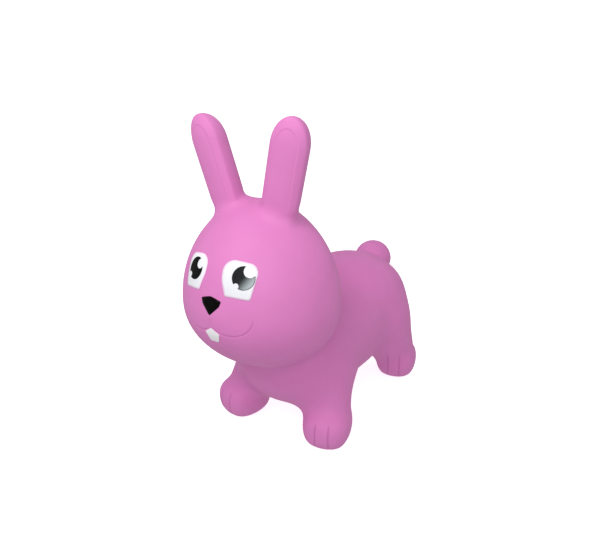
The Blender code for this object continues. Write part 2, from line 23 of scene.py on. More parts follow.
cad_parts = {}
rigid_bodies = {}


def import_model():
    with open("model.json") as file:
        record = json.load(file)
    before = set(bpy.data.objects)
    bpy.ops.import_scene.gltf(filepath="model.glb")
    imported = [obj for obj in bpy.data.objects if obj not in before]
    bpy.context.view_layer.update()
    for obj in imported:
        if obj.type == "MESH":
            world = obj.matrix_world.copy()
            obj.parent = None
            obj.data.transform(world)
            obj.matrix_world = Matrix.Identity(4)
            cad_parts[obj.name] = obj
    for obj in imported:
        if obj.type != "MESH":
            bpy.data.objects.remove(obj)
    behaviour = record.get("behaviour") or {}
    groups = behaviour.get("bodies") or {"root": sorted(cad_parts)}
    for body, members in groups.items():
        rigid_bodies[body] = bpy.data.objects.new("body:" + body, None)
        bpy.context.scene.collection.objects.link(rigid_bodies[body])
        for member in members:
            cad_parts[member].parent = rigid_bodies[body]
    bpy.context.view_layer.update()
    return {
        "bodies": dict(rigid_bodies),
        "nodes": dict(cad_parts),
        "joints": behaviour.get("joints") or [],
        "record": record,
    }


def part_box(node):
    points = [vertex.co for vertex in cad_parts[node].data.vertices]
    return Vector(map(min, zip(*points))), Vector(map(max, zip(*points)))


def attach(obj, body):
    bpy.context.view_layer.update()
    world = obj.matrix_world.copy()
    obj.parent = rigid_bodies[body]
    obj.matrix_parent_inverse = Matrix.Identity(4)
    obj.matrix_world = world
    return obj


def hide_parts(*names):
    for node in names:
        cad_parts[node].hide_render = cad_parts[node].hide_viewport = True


LOG = logging.getLogger("hopper")

Place = tuple[float, float, float]
Corner = tuple[float, float, float]
Flat = tuple[float, float]
Run = tuple[Flat, Flat]

# Corners closer than this are one
MERGE = 0.00002


class Side(Enum):
    """The rabbit's own sides, as signs along X."""

    LEFT = 1
    RIGHT = -1


class Pick(Enum):
    """What a choice in edit mode is made of."""

    VERTS = "VERT"
    EDGES = "EDGE"
    FACES = "FACE"


class Paint(Enum):
    """Paints of the face, as their full colour, the colour at the end of their run and their edge colour."""

    EYE_WHITE = ("#EFF0F3", "#DEE0E6", "#F2CCE9")
    # Its run ends at a light grey-blue painted reflection
    SHADED_IRIS = ("#0F1011", "#B0B9BC", "#2B2E31")
    PLAIN_IRIS = ("#0A0A0B", "#0E0E0F", "#0A0A0B")
    NOSE_BLACK = ("#060606", "#070707", "#060606")
    TOOTH_WHITE = ("#F2F0F2", "#E3E0E4", "#E6C0DA")


# Workbench


def take(*objects: Object) -> None:
    """Select only these objects.

    Args:
        objects: What the next operator acts on, the active one first.
    """
    bpy.ops.object.select_all(action="DESELECT")
    for obj in objects:
        obj.select_set(True)
    bpy.context.view_layer.objects.active = objects[0]


def added(add: Callable[..., set[str]], **settings: object) -> Object:
    """Add a primitive, lamp or camera by itself.

    Args:
        add: The operator that adds it.
        settings: The operator's properties by name.

    Returns:
        The new object, the only one selected.
    """
    bpy.ops.object.select_all(action="DESELECT")
    add(**settings)
    return bpy.context.object


@contextmanager
def editing(obj: Object, mask: np.ndarray | None = None, pick: Pick = Pick.VERTS) -> Iterator[None]:
    """Hold an object in edit mode with part of its mesh chosen.

    Args:
        obj: The mesh object to edit.
        mask: True for each one chosen; without it everything is.
        pick: Whether the mask counts vertices, edges or faces.
    """
    take(obj)
    bpy.ops.object.mode_set(mode="EDIT")
    bpy.ops.mesh.select_mode(type=pick.value)
    bpy.ops.mesh.select_all(action="SELECT" if mask is None else "DESELECT")
    if mask is not None:
        work = bmesh.from_edit_mesh(obj.data)
        for item, chosen in zip(getattr(work, pick.name.lower()), mask):
            if chosen:
                item.select_set(True)
        work.select_flush_mode()
        bmesh.update_edit_mesh(obj.data)
    yield
    bpy.ops.object.mode_set(mode="OBJECT")


def finish_with(obj: Object, kind: str, **settings: object) -> None:
    """Add a modifier to an object and apply it.

    Args:
        obj: The object to shape.
        kind: The modifier's type.
        settings: The modifier's properties by name.
    """
    take(obj)
    modifier = obj.modifiers.new(kind.lower(), kind)
    for name, value in settings.items():
        setattr(modifier, name, value)
    bpy.ops.object.modifier_apply(modifier=modifier.name)


def stretch(x: float, y: float, z: float, centre: Place = (0.0, 0.0, 0.0)) -> None:
    """Scale what is chosen in edit mode about a centre."""
    bpy.ops.transform.resize(value=(x, y, z), center_override=centre)


def settle(obj: Object, place: Matrix) -> Object:
    """Move an object to a place and leave the place in its mesh.

    Args:
        obj: The object, at the origin.
        place: Where it goes.

    Returns:
        The same object, back at the origin.
    """
    take(obj)
    obj.matrix_world = place
    bpy.ops.object.transform_apply(location=True, rotation=True, scale=True)
    return obj


def points(obj: Object) -> np.ndarray:
    """Vertices of a mesh object as rows of x, y, z."""
    flat = np.empty(len(obj.data.vertices) * 3)
    obj.data.vertices.foreach_get("co", flat)
    return flat.reshape(-1, 3)


def many_sided(obj: Object) -> np.ndarray:
    """True for each face with more than four corners."""
    return np.array([len(face.vertices) > 4 for face in obj.data.polygons])


def shape_of(obj: Object) -> BVHTree:
    """An object's surface as it is now, for finding places on it."""
    return BVHTree.FromObject(obj, bpy.context.evaluated_depsgraph_get())


def seen_from(frame: Matrix, places: np.ndarray) -> np.ndarray:
    """Rows of x, y, z in a frame's own axes."""
    back = frame.inverted()
    return places @ np.array(back.to_3x3()).T + np.array(back.translation)


def joined(forms: list[Object]) -> Object:
    """Join forms into one skin.

    Args:
        forms: Mesh objects, used up.

    Returns:
        The skin.
    """
    take(*forms)
    bpy.ops.object.join()
    forms[0].name = "vinyl_skin"
    return forms[0]


def carve(obj: Object, tool: Object, operation: str) -> None:
    """Cut a tool out of an object or weld it on, and use the tool up.

    Args:
        obj: The object to change.
        tool: A closed mesh.
        operation: UNION or DIFFERENCE.
    """
    finish_with(obj, "BOOLEAN", object=tool, operation=operation, solver="MANIFOLD")
    bpy.data.objects.remove(tool)
    with editing(obj):
        bpy.ops.mesh.remove_doubles(threshold=MERGE)
    with editing(obj, many_sided(obj), Pick.FACES):
        bpy.ops.mesh.quads_convert_to_tris(ngon_method="BEAUTY")


def rod(start: Vector, end: Vector, diameter: float, chamfer: float = 0.0) -> Object:
    """Round bar between two points.

    Args:
        start: Middle of one end.
        end: Middle of the other end.
        diameter: Thickness.
        chamfer: Rounding of both rims.

    Returns:
        The bar.
    """
    axis = end - start
    sides = 64
    bar = added(bpy.ops.mesh.primitive_cylinder_add, vertices=sides, radius=diameter / 2, depth=axis.length)
    if chamfer:
        with editing(bar, many_sided(bar), Pick.FACES):
            bpy.ops.mesh.bevel(offset=chamfer, segments=4, affect="EDGES")
    # Half a side's turn keeps its corners off the skin's middle line
    turn = axis.to_track_quat("Z", "Y").to_matrix().to_4x4() @ Matrix.Rotation(math.pi / sides, 4, "Z")
    return settle(bar, Matrix.Translation((start + end) / 2) @ turn)


# Finishes


def linear(colour: str) -> tuple[float, float, float, float]:
    """Turn an sRGB hex colour to linear light.

    Args:
        colour: Six hex digits after a hash sign.

    Returns:
        Red, green, blue and alpha.
    """
    shares = [int(colour[i : i + 2], 16) / 255 for i in (1, 3, 5)]
    return (*(s / 12.92 if s <= 0.04045 else ((s + 0.055) / 1.055) ** 2.4 for s in shares), 1.0)


def add_node(
    tree: NodeTree, kind: str, settings: dict, links: dict[str | int, NodeSocket], output: str | int = 0
) -> NodeSocket:
    """Add a shader node.

    Args:
        tree: The material's nodes.
        kind: The node's type without its ShaderNode prefix.
        settings: Properties and socket values, by name or by the socket's number.
        links: Outputs of other nodes, by the name or number of the input they feed.
        output: Name or number of the output that is wanted.

    Returns:
        That output.
    """
    node = tree.nodes.new("ShaderNode" + kind)
    for name, value in settings.items():
        if isinstance(name, str) and hasattr(node, name):
            setattr(node, name, value)
        else:
            node.inputs[name].default_value = value
    for name, source in links.items():
        tree.links.new(source, node.inputs[name])
    return node.outputs[output]


def new_material(name: str, settings: dict) -> tuple[Material, NodeTree, Node, NodeSocket]:
    """Start a material.

    Args:
        name: The real material and how its surface was made.
        settings: Values that are the same all over it, by the shader's socket.

    Returns:
        The material, its nodes, its shader and its object coordinates.
    """
    material = bpy.data.materials.new(name)
    material.use_nodes = True
    tree = material.node_tree
    shader = tree.nodes["Principled BSDF"]
    for socket, value in settings.items():
        shader.inputs[socket].default_value = value
    return material, tree, shader, add_node(tree, "TexCoord", {}, {}, "Object")


@dataclass(frozen=True)
class MouldedVinyl:
    """Soft PVC, slush moulded and pumped up: an even satin skin with a faint orange-peel texture."""

    light: str = "#DA81C0"
    deep: str = "#D37AB9"
    # Darker colour painted into the pressed lines as shade
    pressed: str = "#C36FAC"
    ior: float = 1.53
    roughness: float = 0.58
    uneven: float = 0.05
    # Its bloom of plasticiser takes the edge off reflections
    specular: float = 0.24
    cloud_mm: float = 40.0
    # Real orange peel is under a millimetre; it is drawn coarser so that it shows
    peel_mm: float = 2.5
    peel_rise_mm: float = 0.02

    def make(self) -> Material:
        """Make the material."""
        plain = {"IOR": self.ior, "Specular IOR Level": self.specular}
        material, tree, shader, place = new_material("pvc_vinyl_slush_moulded", plain)
        cloud = add_node(tree, "TexNoise", {"Scale": 1000 / self.cloud_mm, "Detail": 2.0}, {"Vector": place})
        tints = {"Color1": linear(self.light), "Color2": linear(self.deep)}
        body = add_node(tree, "MixRGB", tints, {"Fac": cloud})
        # Painted shade: the skin's crease weights darken the pressed lines towards the pressed colour
        fold = add_node(tree, "Attribute", {"attribute_name": "crease"}, {}, "Fac")
        colour = add_node(tree, "MixRGB", {"Color2": linear(self.pressed)}, {"Fac": fold, "Color1": body})
        sheen = {"To Min": self.roughness - self.uneven, "To Max": self.roughness + self.uneven}
        gloss = add_node(tree, "MapRange", sheen, {"Value": cloud})
        peel = add_node(tree, "TexNoise", {"Scale": 1000 / self.peel_mm, "Detail": 1.0}, {"Vector": place})
        rise = {"Strength": 0.3, "Distance": self.peel_rise_mm / 1000}
        bump = add_node(tree, "Bump", rise, {"Height": peel})
        tree.links.new(colour, shader.inputs["Base Color"])
        tree.links.new(gloss, shader.inputs["Roughness"])
        tree.links.new(bump, shader.inputs["Normal"])
        return material


@dataclass(frozen=True)
class SprayedPaint:
    """Vinyl paint sprayed through a mask: a smooth, solid coat that thins to a soft edge.

    The coat's colour runs from its full colour at one place on the mask to a second colour at another: a
    painted reflection on the left iris, and greyer towards the bottom on the white patches and the tooth.
    """

    name: str
    paint: Paint
    mask: Matrix
    run: Run
    specular: float = 0.25
    ior: float = 1.5
    roughness: float = 0.45
    uneven: float = 0.04
    mist_mm: float = 9.0
    mist_share: float = 0.2

    def make(self) -> Material:
        """Make the material."""
        plain = {"IOR": self.ior, "Specular IOR Level": self.specular}
        material, tree, shader, place = new_material(self.name, plain)
        # The second colour ends the run: painted reflection on the left iris, greyer lower down on the white
        # patches and the tooth
        full, thin, edge = (linear(colour) for colour in self.paint.value)
        mist = add_node(tree, "TexNoise", {"Scale": 1000 / self.mist_mm, "Detail": 3.0}, {"Vector": place})
        start, end = (self.mask @ Vector((*spot, 0.0)) for spot in self.run)
        way = (end - start) / (end - start).length_squared
        along = add_node(tree, "VectorMath", {"operation": "DOT_PRODUCT", 1: way}, {0: place}, "Value")
        span = {"From Min": start.dot(way), "From Max": end.dot(way), "To Max": 1.0 - self.mist_share}
        fade = add_node(tree, "MapRange", {"interpolation_type": "SMOOTHSTEP", **span}, {"Value": along})
        spread = {"operation": "MULTIPLY_ADD", 1: self.mist_share}
        run_mix = add_node(tree, "Math", spread, {0: mist, 2: fade})
        coat = add_node(tree, "MixRGB", {"Color1": full, "Color2": thin}, {"Fac": run_mix})
        cover = add_node(tree, "Attribute", {"attribute_name": "cover"}, {}, "Fac")
        colour = add_node(tree, "MixRGB", {"Color1": edge}, {"Fac": cover, "Color2": coat})
        sheen = {"To Min": self.roughness - self.uneven, "To Max": self.roughness + self.uneven}
        gloss = add_node(tree, "MapRange", sheen, {"Value": mist})
        tree.links.new(colour, shader.inputs["Base Color"])
        tree.links.new(gloss, shader.inputs["Roughness"])
        return material


@dataclass(frozen=True)
class MouldedStopper:
    """Polyethylene stopper, injection moulded: waxy, milky white with faint flow marks."""

    light: str = "#EDEBE4"
    deep: str = "#DAD8D0"
    ior: float = 1.51
    roughness: float = 0.38
    flow_mm: float = 4.0
    flow_rise_mm: float = 0.05

    def make(self) -> Material:
        """Make the material."""
        plain = {"IOR": self.ior, "Roughness": self.roughness}
        material, tree, shader, place = new_material("polyethylene_injection_moulded", plain)
        flow = add_node(tree, "TexNoise", {"Scale": 1000 / self.flow_mm, "Detail": 2.0}, {"Vector": place})
        tints = {"Color1": linear(self.light), "Color2": linear(self.deep)}
        colour = add_node(tree, "MixRGB", tints, {"Fac": flow})
        rise = {"Strength": 0.2, "Distance": self.flow_rise_mm / 1000}
        bump = add_node(tree, "Bump", rise, {"Height": flow})
        tree.links.new(colour, shader.inputs["Base Color"])
        tree.links.new(bump, shader.inputs["Normal"])
        return material


def dress(piece: Object, material: Material, body: str, nodes: list[str]) -> None:
    """Give a finished piece its finish and its place in the model.

    Args:
        piece: The finished mesh, at the origin.
        material: Its finish.
        body: The CAD body it moves with.
        nodes: The CAD nodes it stands for.
    """
    piece.data.materials.clear()
    piece.data.materials.append(material)
    piece.data.shade_smooth()
    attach(piece, body)
    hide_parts(*nodes)


# Forms of the bladder


@dataclass
class Swell:
    """A rounded form: a cube rounded by subdivision, with its own reach each way.

    Without a crease it is a true egg; the crease of the cube's edges fills its corners.
    """

    centre: Place
    width: float
    front: float
    back: float
    up: float
    down: float
    crease: float | None = None
    turn: float = 0.0
    levels: int = 5

    def build(self) -> Object:
        """Model the form and return it."""
        form = added(bpy.ops.mesh.primitive_cube_add, size=2.0)
        if self.crease:
            with editing(form):
                bpy.ops.transform.edge_crease(value=self.crease)
        finish_with(form, "SUBSURF", levels=self.levels, render_levels=self.levels)
        if self.crease is None:
            finish_with(form, "CAST", cast_type="SPHERE", factor=1.0)
        half = points(form).max()
        with editing(form):
            stretch(self.width / 2 / half, self.back / half, self.up / half)
        with editing(form, points(form)[:, 1] < 0.0):
            stretch(1.0, self.front / self.back, 1.0)
        with editing(form, points(form)[:, 2] < 0.0):
            stretch(1.0, 1.0, self.down / self.up)
        return settle(form, Matrix.Translation(self.centre) @ Matrix.Rotation(self.turn, 4, "Z"))


def ball(centre: Place, diameter: float) -> Swell:
    """Round swell of one diameter about a centre."""
    half = diameter / 2
    return Swell(centre, diameter, half, half, half, half)


def limb(path: list[Vector], diameters: list[float]) -> Object:
    """Round limb along a path.

    Args:
        path: Its joints.
        diameters: Its thickness at each joint.

    Returns:
        A closed mesh.
    """
    curve = bpy.data.curves.new("limb", "CURVE")
    curve.dimensions = "3D"
    curve.bevel_depth = 1.0
    curve.bevel_resolution = 8
    curve.use_fill_caps = True
    spline = curve.splines.new("POLY")
    spline.points.add(len(path) - 1)
    for knot, joint, diameter in zip(spline.points, path, diameters):
        knot.co = (*joint, 1.0)
        knot.radius = diameter / 2
    form = bpy.data.objects.new("limb", curve)
    bpy.context.scene.collection.objects.link(form)
    take(form)
    bpy.ops.object.convert(target="MESH")
    with editing(form):
        bpy.ops.mesh.remove_doubles(threshold=MERGE)
        bpy.ops.mesh.normals_make_consistent(inside=False)
    return form


@dataclass
class Leg:
    """One leg of the left side: hip, knee, ankle and paw."""

    paw: Vector
    hip: Place
    hip_diameter: float
    knee: Place
    knee_diameter: float
    ankle_diameter: float = 0.085
    ankle_setback: float = 0.006
    paw_width: float = 0.085
    paw_length: float = 0.094
    paw_height: float = 0.068
    paw_waist: float = 0.038
    paw_crease: float = 0.22
    paw_splay: float = math.radians(15.0)
    sole_trim: float = 0.004

    def limb_forms(self) -> list[Object]:
        """Hip ball and limb, which run into the trunk."""
        hip = self.paw + Vector(self.hip)
        knee = self.paw + Vector(self.knee)
        ankle = self.paw + Vector((0.0, self.ankle_setback, self.paw_waist))
        diameters = [self.hip_diameter, self.knee_diameter, self.ankle_diameter]
        return [ball(tuple(hip), self.hip_diameter).build(), limb([hip, knee, ankle], diameters)]

    def paw_form(self) -> Object:
        """Paw, reaching a little under the floor."""
        half = self.paw_length / 2
        centre = (self.paw.x, self.paw.y, self.paw_waist)
        up = self.paw_height - self.paw_waist
        down = self.paw_waist + self.sole_trim
        return Swell(centre, self.paw_width, half, half, up, down, self.paw_crease, self.paw_splay).build()


@dataclass(frozen=True)
class Bulge:
    """One swell of the trunk, between a clearance over the floor and a top."""

    width: float
    front: float
    back: float
    top: float
    clearance: float
    crease: float

    def build(self, y: float) -> Object:
        """Model the swell at a place along the trunk and return it."""
        half = (self.top - self.clearance) / 2
        centre = (0.0, y, self.clearance + half)
        return Swell(centre, self.width, self.front, self.back, half, half, self.crease).build()


@dataclass
class Trunk:
    """Breast, barrel and rump, seen from the side as three swells run together."""

    front_axle: float
    rear_axle: float
    breast_setback: float = 0.055
    rump_setforward: float = 0.037
    breast: Bulge = Bulge(width=0.214, front=0.121, back=0.149, top=0.234, clearance=0.045, crease=0.12)
    barrel: Bulge = Bulge(width=0.222, front=0.139, back=0.139, top=0.230, clearance=0.061, crease=0.21)
    rump: Bulge = Bulge(width=0.242, front=0.119, back=0.105, top=0.267, clearance=0.062, crease=0.0)
    tail_diameter: float = 0.0826
    tail_reach: float = 0.103
    tail_height: float = 0.227

    def forms(self) -> list[Object]:
        """Model breast, barrel and rump."""
        front = self.front_axle + self.breast_setback
        rear = self.rear_axle - self.rump_setforward
        return [self.breast.build(front), self.barrel.build((front + rear) / 2), self.rump.build(rear)]

    def tail_form(self) -> Object:
        """Model the tail ball."""
        y = self.rear_axle - self.rump_setforward + self.tail_reach
        return ball((0.0, y, self.tail_height), self.tail_diameter).build()


@dataclass
class Head:
    """Head egg and the low swelling of the muzzle."""

    front_axle: float
    overhang: float = 0.0500
    lift: float = 0.275
    width: float = 0.261
    face: float = 0.132
    nape: float = 0.0905
    crown: float = 0.157
    chin: float = 0.117
    muzzle_width: float = 0.124
    muzzle_proud: float = 0.0036
    muzzle_depth: float = 0.081
    muzzle_raise: float = 0.008
    muzzle_top: float = 0.034
    muzzle_bottom: float = 0.031
    chin_tuck: float = 0.023
    crown_tuck: float = -0.024
    # The face is sprayed a little to the rabbit's right of its middle
    face_shift: float = -0.0015

    @property
    def centre(self) -> Vector:
        """Middle of the egg."""
        return Vector((0.0, self.front_axle - self.overhang, self.lift))

    def egg_form(self) -> Object:
        """Model the head egg with its chin tucked back and the back of its crown tucked forward."""
        egg = Swell(tuple(self.centre), self.width, self.face, self.nape, self.crown, self.chin).build()
        tucks = (
            ("chin", -self.face, -self.chin, self.chin_tuck),
            ("crown", self.nape, self.crown, self.crown_tuck),
        )
        for name, deep, high, tuck in tucks:
            group = egg.vertex_groups.new(name=name)
            for i, (_, y, z) in enumerate(points(egg) - np.array(self.centre)):
                if y / deep > 0.0 and z / high > 0.0:
                    group.add([i], (z / high) ** 2 * y / deep, "REPLACE")
            finish_with(egg, "DISPLACE", direction="Y", strength=tuck, mid_level=0.0, vertex_group=name)
        return egg

    def forms(self) -> list[Object]:
        """Model the head and the muzzle."""
        depth = self.muzzle_depth
        middle = self.centre + Vector((0.0, depth - self.face - self.muzzle_proud, self.muzzle_raise))
        muzzle = Swell(tuple(middle), self.muzzle_width, depth, depth, self.muzzle_top, self.muzzle_bottom)
        return [self.egg_form(), muzzle.build()]

    def spot(self, tree: BVHTree, x: float, rise: float) -> tuple[Vector, Vector]:
        """Find a place on the face, seen from the front.

        Args:
            tree: The skin.
            x: Distance to the left of the face's middle.
            rise: Height over the head's centre.

        Returns:
            The place and the skin's outward normal there.
        """
        start = self.centre + Vector((x + self.face_shift, -2 * self.face, rise))
        place, out, _, _ = tree.ray_cast(start, Vector((0.0, 1.0, 0.0)))
        return place, out


@dataclass
class Ear:
    """Left ear handle: a flat rimmed front with a ridge round it, and a full round back.

    Its sections run from the back to the front panel as distance behind the ear's middle
    and share of its half width.
    """

    head: Head
    spacing: float = 0.090
    setforward: float = 0.0242
    sink: float = 0.0175
    length: float = 0.1448
    half_width: float = 0.0283
    embed: float = 0.182
    spread: float = math.radians(15.0)
    lean: float = math.radians(5.4)
    turn: float = math.radians(9.0)
    tip_stretch: float = 1.45
    sections: tuple[Flat, ...] = (
        # Round back
        (0.0258, 0.205), (0.0235, 0.530), (0.0180, 0.770), (0.0100, 0.925), (0.0020, 0.990),
        # Rim and front
        (-0.0040, 1.000), (-0.0072, 0.988), (-0.0084, 0.972), (-0.0094, 0.940), (-0.0118, 0.840),
        # Ridge
        (-0.0138, 0.720), (-0.0146, 0.670), (-0.0146, 0.645), (-0.0143, 0.620),
        # Panel
        (-0.0150, 0.570), (-0.0162, 0.440), (-0.0172, 0.240),
    )
    tip_sides: int = 40
    side_cuts: int = 32
    root_cut: float = 0.009
    handle_cut: float = 0.016
    # How far round the root the skin is opened, as a share of the half width
    root_share: float = 1.7
    seam_reach: float = 0.008

    def place(self) -> Matrix:
        """Frame of the ear: its foot in the crown, leaning back and out."""
        stand = Matrix.Rotation(self.spread, 4, "Y") @ Matrix.Rotation(self.lean, 4, "X")
        foot = Vector((self.spacing / 2, -self.setforward, self.head.crown - self.sink))
        return Matrix.Translation(self.head.centre + foot) @ stand @ Matrix.Rotation(self.turn, 4, "Z")

    def form(self) -> Object:
        """Model the whole ear by drawing its back outline forwards, section by section."""
        arc = self.length - self.half_width * self.tip_stretch
        depth, share = self.sections[0]
        ear = added(
            bpy.ops.mesh.primitive_circle_add,
            vertices=self.tip_sides,
            radius=self.half_width * share,
            fill_type="NGON",
            location=(0.0, depth, arc),
            rotation=(math.pi / 2, 0.0, 0.0),
        )
        bpy.ops.object.transform_apply(location=True, rotation=True)
        with editing(ear, points(ear)[:, 2] > arc + MERGE):
            stretch(1.0, 1.0, self.tip_stretch, (0.0, depth, arc))
        with editing(ear, points(ear)[:, 2] < arc - MERGE):
            bpy.ops.transform.translate(value=(0.0, 0.0, -(arc + self.embed)))
        spots = points(ear)
        runs = [abs(spots[a][2] - spots[b][2]) for a, b in (edge.vertices for edge in ear.data.edges)]
        with editing(ear, np.array(runs) > arc * share, Pick.EDGES):
            bpy.ops.mesh.subdivide(number_cuts=self.side_cuts)
        with editing(ear):
            for (y, was), (next_y, now) in zip(self.sections, self.sections[1:]):
                step = (0.0, next_y - y, 0.0)
                bpy.ops.mesh.extrude_region_move(TRANSFORM_OT_translate={"value": step})
                self.narrow(ear, now / was, (0.0, next_y, arc))
        with editing(ear, many_sided(ear), Pick.FACES):
            # Both ends close in a line along the middle
            bpy.ops.mesh.inset(thickness=0.0, use_individual=True)
            stretch(0.0, 1.0, 1.0)
            bpy.ops.mesh.delete(type="ONLY_FACE")
            bpy.ops.mesh.select_all(action="SELECT")
            bpy.ops.mesh.remove_doubles(threshold=MERGE)
            bpy.ops.mesh.normals_make_consistent(inside=False)
        return settle(ear, self.place())

    def narrow(self, ear: Object, share: float, centre: Place) -> None:
        """Narrow the chosen section and lower its rounded top.

        Args:
            ear: The ear in edit mode, with one section chosen.
            share: The new width as a share of the old one.
            centre: Middle of the rounded top.
        """
        stretch(share, 1.0, 1.0, centre)
        work = bmesh.from_edit_mesh(ear.data)
        section = [vert for vert in work.verts if vert.select]
        for vert in section:
            vert.select_set(vert.co.z > centre[2])
        stretch(1.0, 1.0, share, centre)
        for vert in section:
            vert.select_set(True)
        work.select_flush_mode()

    def graft(self, skin: Object) -> Object:
        """Swap the blended ear for the crisp one, above the flare at its root.

        Args:
            skin: The blended bladder.

        Returns:
            The bladder with the crisp ear bridged on.
        """
        place = self.place()
        local = seen_from(place, np.array([face.center for face in skin.data.polygons]))
        reach = self.root_share * self.half_width
        near = (np.abs(local[:, :2]) < reach).all(axis=1) & (local[:, 2] > self.root_cut / 2)
        out = place.to_3x3() @ Vector((0.0, 0.0, 1.0))
        with editing(skin, near, Pick.FACES):
            root = place @ Vector((0.0, 0.0, self.root_cut))
            bpy.ops.mesh.bisect(plane_co=root, plane_no=out, clear_outer=True)
        handle = self.form()
        with editing(handle):
            stump = place @ Vector((0.0, 0.0, self.handle_cut))
            bpy.ops.mesh.bisect(plane_co=stump, plane_no=out, clear_inner=True)
        skin = joined([skin, handle])
        with editing(skin, pick=Pick.EDGES):
            bpy.ops.mesh.region_to_loop()
            bpy.ops.mesh.bridge_edge_loops()
        local = seen_from(place, points(skin))
        seam = (np.abs(local[:, :2]) < reach).all(axis=1)
        seam &= np.abs(local[:, 2] - self.root_cut) < self.seam_reach
        with editing(skin, seam):
            bpy.ops.mesh.vertices_smooth(factor=0.5, repeat=3)
        return skin


@dataclass
class Relief:
    """Lines pressed into the skin: the smile, the line under the nose and the toes."""

    head: Head
    legs: list[Leg]
    depth: float = 0.0011
    mouth_share: float = 0.65
    half_width: float = 0.0014
    faintest: float = 0.01
    fade: float = 0.010
    steps: int = 64
    lip_top: float = 0.0120
    lip_bottom: float = -0.0045
    toe_pitch: float = 0.0235
    toe_fall: float = math.radians(42.0)
    toe_rise: float = math.radians(30.0)
    # The mesh is halved within each of these reaches of a line in turn
    halvings: tuple[float, ...] = (0.007, 0.0045, 0.0026)
    smile: tuple[Flat, ...] = ((0.004, -0.009), (0.020, -0.026), (0.066, -0.018), (0.063, 0.0135))

    def smile_line(self, tree: BVHTree, side: Side) -> list[Vector]:
        """Places along one half of the smile."""
        handles = [Vector((side.value * x, rise)) for x, rise in self.smile]
        return [self.head.spot(tree, knot.x, knot.y)[0] for knot in interpolate_bezier(*handles, self.steps)]

    def lip_line(self, tree: BVHTree) -> list[Vector]:
        """Places down the line from the nose to the tooth."""
        drops = np.linspace(self.lip_top, self.lip_bottom, self.steps)
        return [self.head.spot(tree, 0.0, drop)[0] for drop in drops]

    def toe_line(self, tree: BVHTree, leg: Leg, side: Side, offset: float) -> list[Vector]:
        """Find places up a line between two toes.

        Args:
            tree: The skin.
            leg: The leg of the left side.
            side: Which side's paw is meant.
            offset: Distance from the middle of the paw.

        Returns:
            Places from the sole upwards.
        """
        turn = Matrix.Rotation(side.value * leg.paw_splay, 3, "Z")
        ahead = turn @ Vector((0.0, -1.0, 0.0))
        waist = Vector((side.value * leg.paw.x, leg.paw.y, leg.paw_waist)) + turn @ Vector((offset, 0.0, 0.0))
        line = []
        for pitch in np.linspace(-self.toe_fall, self.toe_rise, self.steps):
            arm = ahead * math.cos(pitch) + Vector((0.0, 0.0, math.sin(pitch)))
            line.append(tree.ray_cast(waist + arm * leg.paw_length, -arm)[0])
        return line

    def lines(self, tree: BVHTree) -> list[tuple[list[Vector], float]]:
        """Every pressed line and its share of the full depth."""
        found = [(self.lip_line(tree), self.mouth_share)]
        for side in Side:
            found.append((self.smile_line(tree, side), self.mouth_share))
            for leg in self.legs:
                for offset in (-self.toe_pitch / 2, self.toe_pitch / 2):
                    found.append((self.toe_line(tree, leg, side, offset), 1.0))
        return found

    def press(self, skin: Object) -> None:
        """Refine the skin along the lines, press them in and mark them for the finish's painted shade.

        Args:
            skin: The bladder.
        """
        lines = self.lines(shape_of(skin))
        strength = []
        finder = KDTree(sum(len(line) for line, _ in lines))
        for line, share in lines:
            length = sum((b - a).length for a, b in zip(line, line[1:]))
            for i, place in enumerate(line):
                finder.insert(place, len(strength))
                along = length * i / (len(line) - 1)
                strength.append(share * min(1.0, along / self.fade, (length - along) / self.fade))
        finder.balance()
        for reach in self.halvings:
            near = np.array([finder.find(face.center)[2] < reach for face in skin.data.polygons])
            with editing(skin, near, Pick.FACES):
                bpy.ops.mesh.subdivide(number_cuts=1, smoothness=1.0)
        crease_shade_weights = np.zeros(len(skin.data.vertices), np.float32)
        group = skin.vertex_groups.new(name="pressed")
        for i, place in enumerate(points(skin)):
            _, nearest, distance = finder.find(place)
            weight = strength[nearest] * math.exp(-((distance / self.half_width) ** 2))
            if weight > self.faintest:
                crease_shade_weights[i] = weight
                group.add([i], weight, "REPLACE")
        finish_with(skin, "DISPLACE", strength=-self.depth, mid_level=0.0, vertex_group="pressed")
        # The same weights mark where the vinyl finish paints shade into the lines
        mark = skin.data.attributes.new("crease", "FLOAT", "POINT")
        mark.data.foreach_set("value", crease_shade_weights)


@dataclass
class Valve:
    """Plug under the belly, kept from the CAD model, and its seat in the skin."""

    flange: float = 0.0026
    gap: float = 0.0003
    land_diameter: float = 0.030
    land_depth: float = 0.012
    land_chamfer: float = 0.0008
    bore_diameter: float = 0.011
    bore_depth: float = 0.034
    bore_start: float = 0.004

    def seat(self, skin: Object) -> None:
        """Weld the land on the belly and bore it.

        Args:
            skin: The bladder.
        """
        low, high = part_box("valve_plug")
        land = (low + high) / 2
        land.z = low.z + self.flange + self.gap
        up = Vector((0.0, 0.0, 1.0))
        boss = rod(land, land + up * self.land_depth, self.land_diameter, self.land_chamfer)
        carve(skin, boss, "UNION")
        bore = rod(land - up * self.bore_start, land + up * self.bore_depth, self.bore_diameter)
        carve(skin, bore, "DIFFERENCE")

    def dress(self, plug: Object) -> None:
        """Give the plug its moulded finish."""
        plug.data.materials.clear()
        plug.data.materials.append(MouldedStopper().make())


